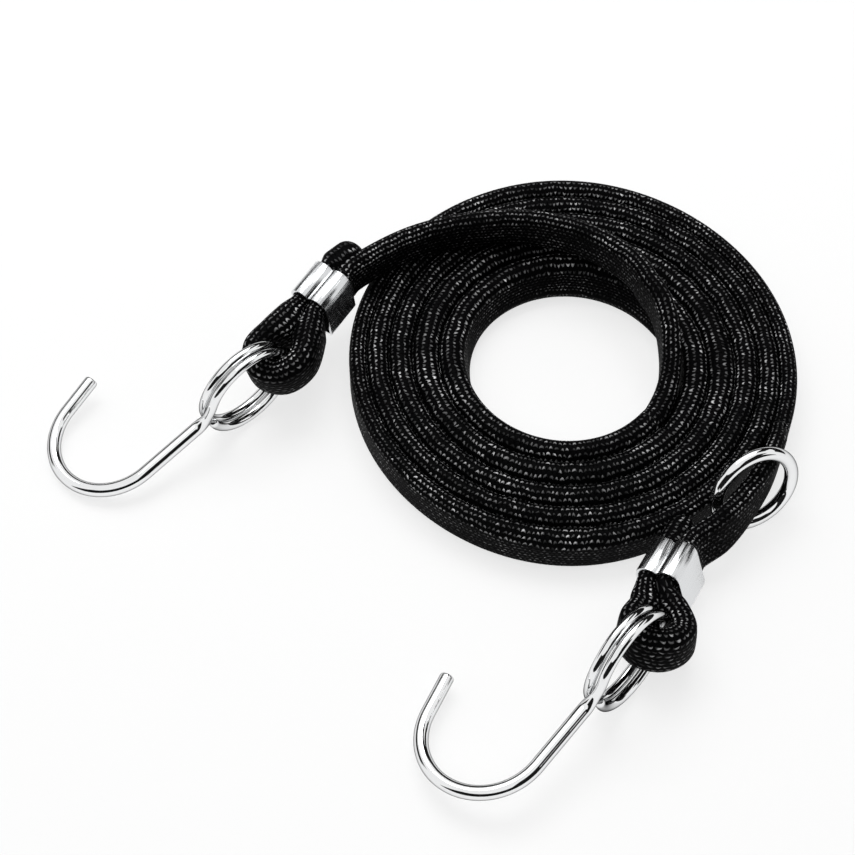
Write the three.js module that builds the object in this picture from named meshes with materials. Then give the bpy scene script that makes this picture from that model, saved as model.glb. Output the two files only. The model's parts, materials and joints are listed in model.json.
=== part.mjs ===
import * as THREE from 'three';

// Flat elastic cord, standing on its narrow edge. Lengths are in millimetres.
const CORD_WIDTH = 15;
const CORD_THICKNESS = 5.6;
const CORD_EDGE = 1.6;
const SHEATH_WALL = 0.9;
const SHEATH_EDGE_WALL = 1.3;
const CORE_PLAY = 0.4;
const FACE_GAP = 0.3;

// Coil of the cord, wound clockwise from the inner end to the outer end.
const COIL_TURNS = 4.936;
const COIL_START_DEG = -45;
const COIL_STEPS = 24;
const COIL_INNER_RADIUS = 34;
const COIL_GAP = 3.2;
const COIL_GAP_LOSS = 0.26;
const COIL_EASE = 4.3;
const COIL_OVAL = 1.03;
const COIL_X = 44.6;
const COIL_Y = 18.9;

// Folded sleeve that clamps the cord end beside the lead.
const SLEEVE_LENGTH = 13.2;
const SLEEVE_WALL = 1;
const SLEEVE_PLAY = 0.4;
const LEG_GAP = 0.4;
const LEG_STUB = 1.3;
const SLEEVE_CORNER = 1.6;
const TAIL_LENGTH = 8.9;

// Cord loop at each end, around the two strands of a hook's eye.
const LOOP_CLEARANCE = 0.5;
const LOOP_SIDE_ROOM = 0.5;
const LOOP_RUN = 2.4;
const EYE_CROSS_DEG = 190;
const LOOP_STEPS = 46;

// Bent wire hook with an eye of nearly two turns.
const WIRE = 4.3;
const EYE_WIRE = 3;
const EYE_RADIUS = 15.2;
const EYE_STRAND_GAP = 0.4;
const EYE_END_DEG = 700;
const EYE_LEAN_DEG = 8;
const SHANK_LENGTH = 41.3;
const BEND_RADIUS = 18.8;
const BEND_DEG = 166;
const TIP_LENGTH = 13;
const WIRE_SIDES = 8;

// Loose ring around the right lead.
const RING_WIRE = 4.2;
const RING_DIAMETER = 26;

const DEG = Math.PI / 180;
const cordHalf = CORD_THICKNESS / 2;
const vec = (x, y, z) => new THREE.Vector3(x, y, z);
const smooth = (t) => THREE.MathUtils.smoothstep(t, 0, 1);

function bandSection(half, tall, edge) {
  if (edge === 0) {
    return [[half, -tall], [half, tall], [-half, tall], [-half, -tall]];
  }
  return [
    [half - edge, -tall], [half, edge - tall], [half, tall - edge], [half - edge, tall],
    [edge - half, tall], [-half, tall - edge], [-half, edge - tall], [edge - half, -tall],
  ];
}

function roundSection(radius, sides) {
  const points = [];
  for (let i = 0; i < sides; i += 1) {
    const angle = 2 * Math.PI * (i + 0.5) / sides;
    points.push([radius * Math.cos(angle), radius * Math.sin(angle)]);
  }
  return points;
}

// Skins one list of stations, each with a place, a side and an up direction, with one section per station.
function addWall(positions, index, stations, sections, outward) {
  const first = positions.length / 3;
  const count = sections[0].length;
  stations.forEach((station, i) => {
    sections[i].forEach(([across, up]) => {
      const p = station.place.clone().addScaledVector(station.side, across).addScaledVector(station.up, up);
      positions.push(p.x, p.y, p.z);
    });
  });
  for (let i = 0; i + 1 < stations.length; i += 1) {
    for (let k = 0; k < count; k += 1) {
      const a = first + i * count + k;
      const b = first + i * count + (k + 1) % count;
      const c = a + count;
      const d = b + count;
      if (outward) {
        index.push(a, b, d, a, d, c);
      } else {
        index.push(a, d, b, a, c, d);
      }
    }
  }
  return first;
}

function closeEnd(index, base, count, flip) {
  for (let k = 1; k + 1 < count; k += 1) {
    index.push(base, base + (flip ? k + 1 : k), base + (flip ? k : k + 1));
  }
}

function toGeometry(positions, index) {
  const geometry = new THREE.BufferGeometry();
  geometry.setAttribute('position', new THREE.Float32BufferAttribute(positions, 3));
  geometry.setIndex(index);
  geometry.computeVertexNormals();
  return geometry;
}

function solidAlong(stations, sections) {
  const positions = [];
  const index = [];
  const count = sections[0].length;
  const first = addWall(positions, index, stations, sections, true);
  closeEnd(index, first, count, true);
  closeEnd(index, first + (stations.length - 1) * count, count, false);
  return toGeometry(positions, index);
}

// Open-ended sleeve: eight outer corners and four corners of the bore, joined by a rim at each end.
function sleeveAlong(stations, outer, bore) {
  const positions = [];
  const index = [];
  const last = stations.length - 1;
  const out = addWall(positions, index, stations, stations.map(() => outer), true);
  const inner = addWall(positions, index, stations, stations.map(() => bore), false);
  [[out, inner, true], [out + last * 8, inner + last * 4, false]].forEach(([o, b, flip]) => {
    const rim = (p, q, r) => index.push(p, flip ? r : q, flip ? q : r);
    for (let k = 0; k < 4; k += 1) {
      const corner = b + k;
      const next = b + (k + 1) % 4;
      const near = o + (2 * k) % 8;
      const far = o + (2 * k + 1) % 8;
      const beyond = o + (2 * k + 2) % 8;
      rim(near, far, corner);
      rim(far, beyond, next);
      rim(far, next, corner);
    }
  });
  return toGeometry(positions, index);
}

const sheathSection = bandSection(cordHalf, CORD_WIDTH / 2, CORD_EDGE);
const boreSection = bandSection(cordHalf - SHEATH_WALL, CORD_WIDTH / 2 - SHEATH_EDGE_WALL, 0);
const coreSection = bandSection(
  cordHalf - SHEATH_WALL - CORE_PLAY,
  CORD_WIDTH / 2 - SHEATH_EDGE_WALL - CORE_PLAY,
  0,
);

function station(place, along, roll = 0) {
  const side = vec(-along.y, along.x, 0).normalize().applyAxisAngle(along, roll);
  return { place, side, up: along.clone().cross(side).normalize(), along };
}

function addCord(parent, name, stations) {
  const sheathLook = new THREE.MeshStandardMaterial({ color: 0x141414, roughness: 0.8, metalness: 0 });
  const coreLook = new THREE.MeshStandardMaterial({ color: 0x2b2622, roughness: 0.9, metalness: 0 });
  const sheath = new THREE.Mesh(sleeveAlong(stations, sheathSection, boreSection), sheathLook);
  const core = new THREE.Mesh(solidAlong(stations, stations.map(() => coreSection)), coreLook);
  sheath.name = `${name}_sheath`;
  core.name = `${name}_core`;
  parent.add(sheath, core);
}

function addSteel(parent, name, geometry, color, roughness) {
  const look = new THREE.MeshStandardMaterial({ color, roughness, metalness: 1 });
  const mesh = new THREE.Mesh(geometry, look);
  mesh.name = name;
  parent.add(mesh);
}

const cordAssembly = new THREE.Group();
cordAssembly.name = 'bungee_cord';

// Coil: the innermost turn keeps to the round hole before it steps out beside the next one.
const coilPitch = CORD_THICKNESS + COIL_GAP;
function coilRadius(turn) {
  const ease = turn > 0 && turn < 1 ? COIL_EASE * 6.75 * turn * turn * (1 - turn) : 0;
  return COIL_INNER_RADIUS + coilPitch * turn - COIL_GAP_LOSS * turn * turn - ease;
}

function coilPlace(turn) {
  const angle = COIL_START_DEG * DEG - 2 * Math.PI * turn;
  const radius = coilRadius(turn);
  return vec(
    COIL_X + radius * Math.cos(angle),
    COIL_Y + COIL_OVAL * radius * Math.sin(angle),
    CORD_WIDTH / 2,
  );
}

function coilStation(turn) {
  const along = coilPlace(turn + 0.01).sub(coilPlace(turn - 0.01)).normalize();
  return station(coilPlace(turn), along);
}

const coilStations = [];
for (let i = 0; i < COIL_TURNS * COIL_STEPS; i += 1) {
  coilStations.push(coilStation(i / COIL_STEPS));
}
coilStations.push(coilStation(COIL_TURNS));
addCord(cordAssembly, 'coil', coilStations);

// The right lead, ferrule, hook and ring hang on the coil's outer end and are placed from there.
const innerEnd = coilStations[0];
const outerEnd = coilStations[coilStations.length - 1];
const fromOuterEnd = (x, y, z) => vec(x, y, z).add(outerEnd.place);

let leastGap = Infinity;
for (let i = 0; i < coilStations.length; i += 1) {
  for (let j = i + COIL_STEPS / 2; j < coilStations.length; j += 1) {
    const apart = coilStations[i].place.distanceTo(coilStations[j].place) - CORD_THICKNESS;
    leastGap = Math.min(leastGap, apart);
  }
}
console.log(`least gap between coil turns ${leastGap.toFixed(2)} mm`);

// Hook: J and shank of the full wire, then the wire drawn thinner into the eye. X runs down the shank, Z is up.
const strandOffset = (EYE_WIRE + EYE_STRAND_GAP) / 2;
const eyeAxis = vec(0, Math.cos(EYE_LEAN_DEG * DEG), -Math.sin(EYE_LEAN_DEG * DEG));

function onEye(degrees, radius, across) {
  const place = vec(radius * Math.cos(degrees * DEG), across, radius * Math.sin(degrees * DEG));
  return place.applyAxisAngle(vec(1, 0, 0), -EYE_LEAN_DEG * DEG);
}

// The two strands lie side by side and change places inside the cord loop, one outside the other.
function eyePlace(degrees) {
  const lap = degrees >= 360 ? degrees - 360 : degrees;
  const sign = degrees >= 360 ? -1 : 1;
  const twist = Math.PI * smooth((lap - EYE_CROSS_DEG + 45) / 90);
  const behind = smooth(1 - Math.abs(degrees - 360) / 50);
  const across = sign * strandOffset * Math.cos(twist) - EYE_STRAND_GAP * behind;
  return onEye(degrees, EYE_RADIUS + sign * strandOffset * Math.sin(twist), across);
}

function hookRoute() {
  const points = [];
  const bendEnd = BEND_DEG * DEG;
  const onBend = (angle) => vec(
    SHANK_LENGTH + BEND_RADIUS * Math.sin(angle),
    BEND_RADIUS * (Math.cos(angle) - 1),
    0,
  );
  const tipFrom = onBend(bendEnd);
  const tipWay = vec(Math.cos(bendEnd), -Math.sin(bendEnd), 0);
  const round = WIRE * 0.18;
  points.push([tipFrom.clone().addScaledVector(tipWay, TIP_LENGTH), WIRE / 2 - round]);
  points.push([tipFrom.clone().addScaledVector(tipWay, TIP_LENGTH - round), WIRE / 2]);
  const bendSteps = 12;
  for (let i = 0; i <= bendSteps; i += 1) {
    points.push([onBend(bendEnd * (1 - i / bendSteps)), WIRE / 2]);
  }
  const joinDeg = 38;
  const join = eyePlace(joinDeg);
  const into = eyePlace(joinDeg + 2).sub(join).normalize();
  const neck = new THREE.CubicBezierCurve3(
    vec(EYE_RADIUS + 2.5 * WIRE, 0, 0),
    vec(EYE_RADIUS + WIRE, strandOffset, 0),
    join.clone().addScaledVector(into, -6),
    join,
  );
  for (let i = 0; i <= 6; i += 1) {
    const thin = smooth(i / 4);
    points.push([neck.getPoint(i / 6), (WIRE + (EYE_WIRE - WIRE) * thin) / 2]);
  }
  const eyeSteps = Math.round((EYE_END_DEG - joinDeg) / 15);
  for (let i = 1; i <= eyeSteps; i += 1) {
    points.push([eyePlace(joinDeg + (EYE_END_DEG - joinDeg) * i / eyeSteps), EYE_WIRE / 2]);
  }
  return points;
}

function wireGeometry(points) {
  const stations = [];
  const sections = [];
  let side = vec(0, 0, 1);
  points.forEach(([place, radius], i) => {
    const before = points[Math.max(0, i - 1)][0];
    const after = points[Math.min(points.length - 1, i + 1)][0];
    const along = after.clone().sub(before).normalize();
    side = side.clone().addScaledVector(along, -side.dot(along)).normalize();
    stations.push({ place, side, up: along.clone().cross(side) });
    sections.push(roundSection(radius, WIRE_SIDES));
  });
  return solidAlong(stations, sections);
}

function addHook(name, x, y, headingDeg, pitchDeg, rollDeg) {
  const hook = new THREE.Group();
  hook.position.set(x, y, EYE_RADIUS + EYE_WIRE / 2 + 0.05);
  hook.rotation.set(rollDeg * DEG, pitchDeg * DEG, headingDeg * DEG, 'ZYX');
  addSteel(hook, name, wireGeometry(hookRoute()), 0xdfe1e2, 0.12);
  cordAssembly.add(hook);
  hook.updateMatrixWorld(true);
  const axis = eyeAxis.clone().transformDirection(hook.matrixWorld);
  console.log(`${name} eye ${hook.position.toArray()} axis ${axis.toArray().map((n) => n.toFixed(5))}`);
  return hook;
}

const leftHook = addHook('left_hook', -56.8, 4.1, 221, 13, 3);
const rightEye = fromOuterEnd(-53.843, -83.213, 0);
const rightHook = addHook('right_hook', rightEye.x, rightEye.y, 230, 5.3, 12.5);

// Cord end: a sleeve over two legs, a loop towards the hook and a short tail. X points to the hook, Z is up.
const legOffset = (CORD_THICKNESS + LEG_GAP) / 2;

function sleeveOutline(grow) {
  const lobe = cordHalf + SLEEVE_PLAY + grow;
  const crown = CORD_WIDTH / 2 - cordHalf;
  const dip = Math.acos(Math.min(1, legOffset / lobe));
  const corner = SLEEVE_CORNER - SLEEVE_WALL + grow;
  const wide = legOffset + lobe - corner;
  const deep = crown + lobe - corner;
  const outline = [];
  const addArc = (across, up, radius, from, to, steps) => {
    for (let i = 0; i <= steps; i += 1) {
      const angle = from + (to - from) * i / steps;
      outline.push([across + radius * Math.cos(angle), up + radius * Math.sin(angle)]);
    }
  };
  addArc(legOffset, crown, lobe, 0, Math.PI - dip, 6);
  outline.pop();
  addArc(-legOffset, crown, lobe, dip, Math.PI, 6);
  addArc(-wide, -deep, corner, Math.PI, 1.5 * Math.PI, 3);
  addArc(wide, -deep, corner, 1.5 * Math.PI, 2 * Math.PI, 3);
  return outline;
}

function sleeveGeometry() {
  const positions = [];
  const index = [];
  const inner = sleeveOutline(0);
  const outer = sleeveOutline(SLEEVE_WALL);
  const count = outer.length;
  const ends = [-SLEEVE_LENGTH / 2, SLEEVE_LENGTH / 2].map((x) => (
    { place: vec(x, 0, 0), side: vec(0, 1, 0), up: vec(0, 0, 1) }
  ));
  const out = addWall(positions, index, ends, [outer, outer], true);
  const hole = addWall(positions, index, ends, [inner, inner], false);
  for (let k = 0; k < count; k += 1) {
    const n = (k + 1) % count;
    index.push(out + k, hole + k, out + n, out + n, hole + k, hole + n);
    index.push(out + count + k, out + count + n, hole + count + k);
    index.push(out + count + n, hole + count + n, hole + count + k);
  }
  return toGeometry(positions, index);
}

// The loop's sides pass both strands of the eye, and its bow lies inside the eye.
function endStations(end, hook, eyeDeg) {
  const front = SLEEVE_LENGTH / 2;
  const inEnd = (x, y) => vec(x, y, 0).applyMatrix4(end.matrixWorld);
  const room = 2 * strandOffset + EYE_WIRE / 2 - strandOffset + LOOP_CLEARANCE + cordHalf;
  const sideways = room + LOOP_SIDE_ROOM;
  const rise = EYE_RADIUS - Math.sqrt(EYE_RADIUS ** 2 - (CORD_WIDTH / 2) ** 2);
  const bow = room + rise;
  const inLoop = (across, inward) => (
    onEye(eyeDeg, EYE_RADIUS - inward, across).applyMatrix4(hook.matrixWorld)
  );
  const points = [
    inEnd(-front - TAIL_LENGTH, -legOffset),
    inEnd(-front, -legOffset),
    inEnd(front / 2, -legOffset),
    inEnd(front, -legOffset),
    inEnd(front + LEG_STUB, -legOffset),
    inLoop(-sideways, -LOOP_RUN),
    inLoop(-sideways * 0.86, bow * 0.6),
    inLoop(0, bow),
    inLoop(sideways * 0.86, bow * 0.6),
    inLoop(sideways, -LOOP_RUN),
    inEnd(front + LEG_STUB, legOffset),
    inEnd(front, legOffset),
    inEnd(front / 2, legOffset),
    inEnd(-front - LEG_STUB, legOffset),
  ];
  const curve = new THREE.CatmullRomCurve3(points, false, 'centripetal');
  const lengths = curve.getLengths(points.length * 40 - 40);
  const place = (k) => lengths[k * 40] / lengths[lengths.length - 1];
  const upEnd = vec(0, 0, 1).transformDirection(end.matrixWorld);
  const upLoop = onEye(eyeDeg - 90, 1, 0).transformDirection(hook.matrixWorld);
  const stations = [];
  for (let i = 0; i <= LOOP_STEPS; i += 1) {
    const t = i / LOOP_STEPS;
    const along = curve.getTangentAt(t);
    const turned = Math.min(
      smooth((t - place(4)) / (place(6) - place(4))),
      smooth((place(10) - t) / (place(10) - place(8))),
    );
    const up = upEnd.clone().lerp(upLoop, turned);
    const side = up.cross(along).normalize();
    stations.push({ place: curve.getPointAt(t), side, up: along.clone().cross(side), along });
  }
  return stations;
}

function addEnd(name, hook, eyeDeg, place, headingDeg, pitchDeg, rollDeg) {
  const end = new THREE.Group();
  end.name = `${name}_end`;
  end.position.copy(place);
  end.rotation.set(rollDeg * DEG, pitchDeg * DEG, headingDeg * DEG, 'ZYX');
  addSteel(end, `${name}_ferrule`, sleeveGeometry(), 0xc9cbcc, 0.25);
  cordAssembly.add(end);
  end.updateMatrixWorld(true);
  addCord(cordAssembly, `${name}_loop`, endStations(end, hook, eyeDeg));
  const axis = vec(1, 0, 0).transformDirection(end.matrixWorld);
  console.log(`${name} end axis ${axis.toArray().map((n) => n.toFixed(5))}`);
  return end;
}

const leftEnd = addEnd('left', leftHook, 179, vec(-33.4, 35.6, 22), 235, 8, 0);
const rightEnd = addEnd('right', rightHook, 198, fromOuterEnd(-39.043, -53.113, 4.5), 241, -4, 20);

// Leads: free stretches of the cord between the coil and the end sleeves.
function leadMeeting(end) {
  const away = SLEEVE_LENGTH / 2 + LEG_STUB + FACE_GAP;
  const along = vec(1, 0, 0).transformDirection(end.matrixWorld);
  const up = vec(0, 0, 1).transformDirection(end.matrixWorld);
  const level = station(vec(0, 0, 0), along);
  return {
    place: vec(-away, legOffset, 0).applyMatrix4(end.matrixWorld),
    along,
    roll: Math.atan2(-up.dot(level.side), up.dot(level.up)),
  };
}

function addLead(name, route, startAlong, meeting, steps) {
  const run = CORD_WIDTH * 0.35;
  const points = [
    route[0],
    route[0].clone().addScaledVector(startAlong, run),
    ...route.slice(1),
    meeting.place.clone().addScaledVector(meeting.along, -run),
    meeting.place,
  ];
  const curve = new THREE.CatmullRomCurve3(points, false, 'centripetal');
  const stations = [];
  for (let i = 0; i <= steps; i += 1) {
    const t = i / steps;
    let along = curve.getTangentAt(t);
    if (i === 0) along = startAlong.clone();
    if (i === steps) along = meeting.along.clone();
    const turned = meeting.roll * smooth((t - 0.15) / 0.85);
    const place = curve.getPointAt(t);
    place.z = Math.max(place.z, CORD_WIDTH / 2);
    stations.push(station(place, along, turned));
  }
  addCord(cordAssembly, name, stations);
}

const overTop = CORD_WIDTH * 1.5 + 0.5;
const polar = (radius, degrees, z) => vec(
  COIL_X + radius * Math.cos(degrees * DEG),
  COIL_Y + COIL_OVAL * radius * Math.sin(degrees * DEG),
  z,
);
const leftRoute = [
  innerEnd.place.clone().addScaledVector(innerEnd.along, -FACE_GAP),
  polar(33, -25, 11),
  polar(32.4, -12, 16.6),
  polar(32.2, 0, 21.2),
  polar(32.2, 10, overTop),
  polar(32.6, 20, overTop),
  polar(33, 32, overTop),
  polar(34, 46, overTop),
  polar(36, 62, overTop),
  polar(40.2, 85, overTop),
  polar(45.7, 106, overTop),
  polar(52, 124, overTop),
  polar(58.5, 137, overTop),
  polar(64.5, 147.5, overTop),
];
addLead('left_lead', leftRoute, innerEnd.along.clone().negate(), leadMeeting(leftEnd), 34);

const rightRoute = [
  outerEnd.place.clone().addScaledVector(outerEnd.along, FACE_GAP),
  fromOuterEnd(-3.543, -9.513, 3.9),
  fromOuterEnd(-8.943, -20.513, 6.5),
  fromOuterEnd(-15.943, -31.013, 6.7),
  fromOuterEnd(-24.143, -41.513, 5.5),
];
addLead('right_lead', rightRoute, outerEnd.along.clone(), leadMeeting(rightEnd), 14);

// Slide ring, leaning on the right lead.
function ringGeometry() {
  const stations = [];
  const steps = 28;
  const positions = [];
  const index = [];
  for (let i = 0; i <= steps; i += 1) {
    const angle = -2 * Math.PI * i / steps;
    const out = vec(Math.cos(angle), Math.sin(angle), 0);
    stations.push({ place: out.clone().multiplyScalar(RING_DIAMETER / 2), side: out, up: vec(0, 0, 1) });
  }
  const section = roundSection(RING_WIRE / 2, WIRE_SIDES);
  addWall(positions, index, stations, stations.map(() => section), true);
  const count = section.length;
  const joined = index.map((k) => k % (steps * count));
  return toGeometry(positions.slice(0, steps * count * 3), joined);
}

const ring = new THREE.Group();
ring.position.copy(fromOuterEnd(-11.643, -24.313, 7.1));
ring.quaternion.setFromUnitVectors(vec(0, 0, 1), vec(0.4, -0.88, 0.27).normalize());
addSteel(ring, 'slide_ring', ringGeometry(), 0xdfe1e2, 0.12);
cordAssembly.add(ring);

// The whole cord stands on the ground, centred over the origin.
cordAssembly.updateMatrixWorld(true);
const extent = new THREE.Box3().setFromObject(cordAssembly, true);
const middle = extent.getCenter(vec(0, 0, 0));
cordAssembly.position.set(-middle.x, -middle.y, -extent.min.z);
cordAssembly.updateMatrixWorld(true);
console.log(`coil centre ${(COIL_X - middle.x).toFixed(3)} ${(COIL_Y - middle.y).toFixed(3)} ${(-extent.min.z).toFixed(3)}`);

export default cordAssembly;
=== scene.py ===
import json
import math

import bpy
import numpy as np
from mathutils import Euler, Matrix, Vector


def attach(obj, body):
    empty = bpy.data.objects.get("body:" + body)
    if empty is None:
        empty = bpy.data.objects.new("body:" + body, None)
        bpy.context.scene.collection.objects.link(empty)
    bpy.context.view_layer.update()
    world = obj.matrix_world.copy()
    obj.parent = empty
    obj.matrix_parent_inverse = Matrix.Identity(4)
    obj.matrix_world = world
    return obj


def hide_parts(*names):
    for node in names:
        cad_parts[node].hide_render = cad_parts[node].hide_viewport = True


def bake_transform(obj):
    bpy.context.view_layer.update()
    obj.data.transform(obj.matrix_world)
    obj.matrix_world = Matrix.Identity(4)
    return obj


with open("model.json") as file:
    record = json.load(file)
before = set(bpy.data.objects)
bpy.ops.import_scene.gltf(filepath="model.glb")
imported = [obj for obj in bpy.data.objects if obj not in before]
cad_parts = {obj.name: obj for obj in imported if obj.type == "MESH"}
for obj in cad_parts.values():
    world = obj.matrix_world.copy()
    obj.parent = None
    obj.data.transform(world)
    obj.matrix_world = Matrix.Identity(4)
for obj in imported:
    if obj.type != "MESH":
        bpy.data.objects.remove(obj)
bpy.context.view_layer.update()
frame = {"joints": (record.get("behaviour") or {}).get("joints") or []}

# Camera. The object lies on a table and is seen from the near side, 55 degrees above it, with a long lens.
# Everything is laid out in millimetres about the point that the lens looks at, and one known point,
# the centre of the left hook's eye, says where that layout lies in the frame.
LEFT_EYE = Vector((-56.8, 4.1, 16.75))
CAMERA_PLACE = (0, -347.6, 496.4)
CAMERA_TILT = math.radians(35)
FOCAL_LENGTH = 80
SENSOR_WIDTH = 36
joint_of = {joint["name"]: joint for joint in frame["joints"]}
layout_origin = Vector(joint_of["left_hook_turn"]["pos_m"]) - LEFT_EYE / 1000


def in_frame(millimetres):
    return layout_origin + Vector(millimetres) / 1000


bpy.ops.object.select_all(action="DESELECT")
bpy.ops.object.camera_add(location=in_frame(CAMERA_PLACE), rotation=(CAMERA_TILT, 0, 0))
camera = bpy.context.object
camera.data.sensor_width = SENSOR_WIDTH
camera.data.lens = FOCAL_LENGTH
bpy.context.scene.camera = camera
bpy.context.scene.view_settings.view_transform = "Standard"

# Studio. A white table top in a white tent with one soft box above it; black flags in the tent draw the dark
# lines on the bright metal. To the lens the table is mostly clear, with white behind it, so it is white, keeps
# soft shadows and shows a hook that is turned down below it.
TABLE_SIZE = 6
TABLE_DROP = 0.0002
TABLE_WHITE = (0.93, 0.93, 0.93, 1)
TABLE_PLAIN_SHARE = 0.72
WHITE = (1, 1, 1, 1)
TENT_WHITE = (0.95, 0.95, 0.95, 1)
FLAG_BLACK = (0.01, 0.01, 0.01, 1)
BEGINS = (0, 1)
ENDS = (1, 0)
FLAG_EDGES = {
    "near": (("Y", -0.4, -0.35, ENDS), ("Z", 0.05, 0.07, BEGINS), ("Z", 0.64, 0.66, ENDS)),
    "far": (("Y", 0.1, 0.2, BEGINS), ("Z", 0.0, 0.02, BEGINS), ("Z", 0.42, 0.44, ENDS)),
    "side": (("Y", 0.3, 0.4, BEGINS), ("X", 0.26, 0.28, BEGINS), ("X", 0.58, 0.6, ENDS)),
    "block": (
        ("Y", -0.12, -0.08, ENDS),
        ("X", 0.18, 0.22, BEGINS),
        ("Z", 0.58, 0.6, BEGINS),
        ("Z", 0.86, 0.87, ENDS),
    ),
}
SOFT_BOX_PLACE = Vector((-0.1, 0.45, 0.95))
SOFT_BOX_SIZE = (0.9, 0.55)
SOFT_BOX_WATTS = 6


class Signal:
    """A value in a material. Operators on it add Math nodes, and make adds any other node."""

    def __init__(self, tree, socket=None):
        self.tree = tree
        self.socket = socket

    def make(self, kind, settings=None, inputs=None, output=0):
        node = self.tree.nodes.new(kind)
        for name, value in (settings or {}).items():
            setattr(node, name, value)
        for name, value in (inputs or {}).items():
            if isinstance(value, Signal):
                self.tree.links.new(value.socket, node.inputs[name])
            else:
                node.inputs[name].default_value = value
        return Signal(self.tree, node.outputs[output]) if node.outputs else node

    def also(self, output):
        """Another output of the node that this value comes from."""
        return Signal(self.tree, self.socket.node.outputs[output])

    def math(self, operation, *others):
        values = dict(enumerate((self, *others)))
        return self.make("ShaderNodeMath", {"operation": operation}, values)

    def rise(self, start, stop, low=0.0, high=1.0):
        return self.make(
            "ShaderNodeMapRange",
            {"interpolation_type": "SMOOTHSTEP"},
            {"Value": self, "From Min": start, "From Max": stop, "To Min": low, "To Max": high},
        )

    def between(self, first, second):
        """The first colour where this value is 0, the second where it is 1."""
        colours = {0: self, 6: first, 7: second}
        return self.make("ShaderNodeMix", {"data_type": "RGBA"}, colours, output=2)

    def __add__(self, other):
        return self.math("ADD", other)

    def __sub__(self, other):
        return self.math("SUBTRACT", other)

    def __rsub__(self, other):
        return self.make("ShaderNodeMath", {"operation": "SUBTRACT"}, {0: other, 1: self})

    def __mul__(self, other):
        return self.math("MULTIPLY", other)

    def __truediv__(self, other):
        return self.math("DIVIDE", other)

    def __pow__(self, other):
        return self.math("POWER", other)

    __radd__ = __add__
    __rmul__ = __mul__


def bare_material(name):
    material = bpy.data.materials.new(name)
    material.use_nodes = True
    material.node_tree.nodes.clear()
    return material, Signal(material.node_tree)


bpy.ops.object.select_all(action="DESELECT")
bpy.ops.mesh.primitive_plane_add(size=TABLE_SIZE, location=(0, 0, -TABLE_DROP))
table = bpy.context.object
table.name = "table_top"
table_look, paint = bare_material("table_white")
seen = paint.make("ShaderNodeLightPath", output="Is Camera Ray")
mirrored = seen.math("MAXIMUM", seen.also("Is Glossy Ray"))
plain_share = mirrored.math("MAXIMUM", seen.also("Is Transmission Ray")) * TABLE_PLAIN_SHARE
lit = paint.make("ShaderNodeBsdfDiffuse", inputs={"Color": TABLE_WHITE})
glow = paint.make("ShaderNodeEmission", inputs={"Color": WHITE, "Strength": 1})
clear = paint.make("ShaderNodeBsdfTransparent")
plain = paint.make("ShaderNodeMixShader", inputs={0: seen, 1: glow, 2: clear})
shown = paint.make("ShaderNodeMixShader", inputs={0: plain_share, 1: lit, 2: plain})
paint.make("ShaderNodeOutputMaterial", inputs={"Surface": shown})
table.data.materials.append(table_look)

world = bpy.data.worlds.new("studio")
world.use_nodes = True
world.node_tree.nodes.clear()
bpy.context.scene.world = world
sky = Signal(world.node_tree)
direction = sky.make("ShaderNodeTexCoord", output="Generated")
axes = sky.make("ShaderNodeSeparateXYZ", inputs={0: direction})
flags = None
for edges in FLAG_EDGES.values():
    first, *others = (axes.also(axis).rise(start, stop, *sense) for axis, start, stop, sense in edges)
    flag = math.prod(others, start=first)
    flags = flags.math("MAXIMUM", flag) if flags else flag
tent = flags.between(TENT_WHITE, FLAG_BLACK)
air = sky.make("ShaderNodeLightPath", output="Is Camera Ray").between(tent, WHITE)
background = sky.make("ShaderNodeBackground", inputs={"Color": air, "Strength": 1})
sky.make("ShaderNodeOutputWorld", inputs={"Surface": background})

bpy.ops.object.select_all(action="DESELECT")
bpy.ops.object.light_add(type="AREA", location=SOFT_BOX_PLACE)
soft_box = bpy.context.object
soft_box.name = "soft_box_over"
soft_box.data.shape = "RECTANGLE"
soft_box.data.size, soft_box.data.size_y = SOFT_BOX_SIZE
soft_box.data.energy = SOFT_BOX_WATTS
soft_box.rotation_euler = (-SOFT_BOX_PLACE).to_track_quat("-Z", "Y").to_euler()

# Cord. A flat elastic cord of 15 mm by about 6 mm: rubber inside a sleeve braided from black textile yarn.
# Its inner turns start at the hole of the coil and wind outwards, standing on the narrow edge.
UP = np.array([0.0, 0.0, 1.0])
CORD_WIDTH = 15
CORD_HALF = 2.8
COIL_CENTRE = (44.6, 18.9)
COIL_TURNS = 4.936
COIL_START = math.radians(-45)
COIL_STEPS = 280
COIL_INNER_RADIUS = 34
COIL_PITCH = 8.8
COIL_PITCH_LOSS = 0.26
COIL_TUCK = 4.3
TUCK_PEAK = 27 / 4
COIL_OVAL = 1.03
COIL_HALF = 3.45
COIL_CREASE = 0.02
COIL_FILL = 2.4
OUTER_TRIM = 1.3
TRIM_LOSS = 1.5
TRIM_POWER = 6
TRIM_STEPS = 12
LEAN_OUT = 0.85
LEAN_IN = 0.5
ARC_POINTS = 7
SIDE_POINTS = 4
BULGE_POWER = 4
CORD_SMOOTH = math.radians(50)
SHEATH_WALL = 1.0
SHEATH_EDGE_WALL = 1.3
SEAL_START = 0.04
SEAL_HEIGHT = 0.55
CORE_PLAY = 0.3
CORE_STRIDE = 3
STRIP_ACROSS = np.array([0, 1, 1, 1, 0, -1, -1, -1])
STRIP_UP = np.array([-1, -1, 0, 1, 1, 1, 0, -1])
STRIP_POINTS = len(STRIP_UP)
FLOAT_LENGTH = 1.5
ROWS = 23
YARN_PULL = (1.6, 0.9, 0)
FLOAT_SEAT = 0.66
FLOAT_ARCH = 1.7
FLOAT_HALF_WIDTH = 0.27
FLOAT_HALF_LENGTH = 0.52
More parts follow.
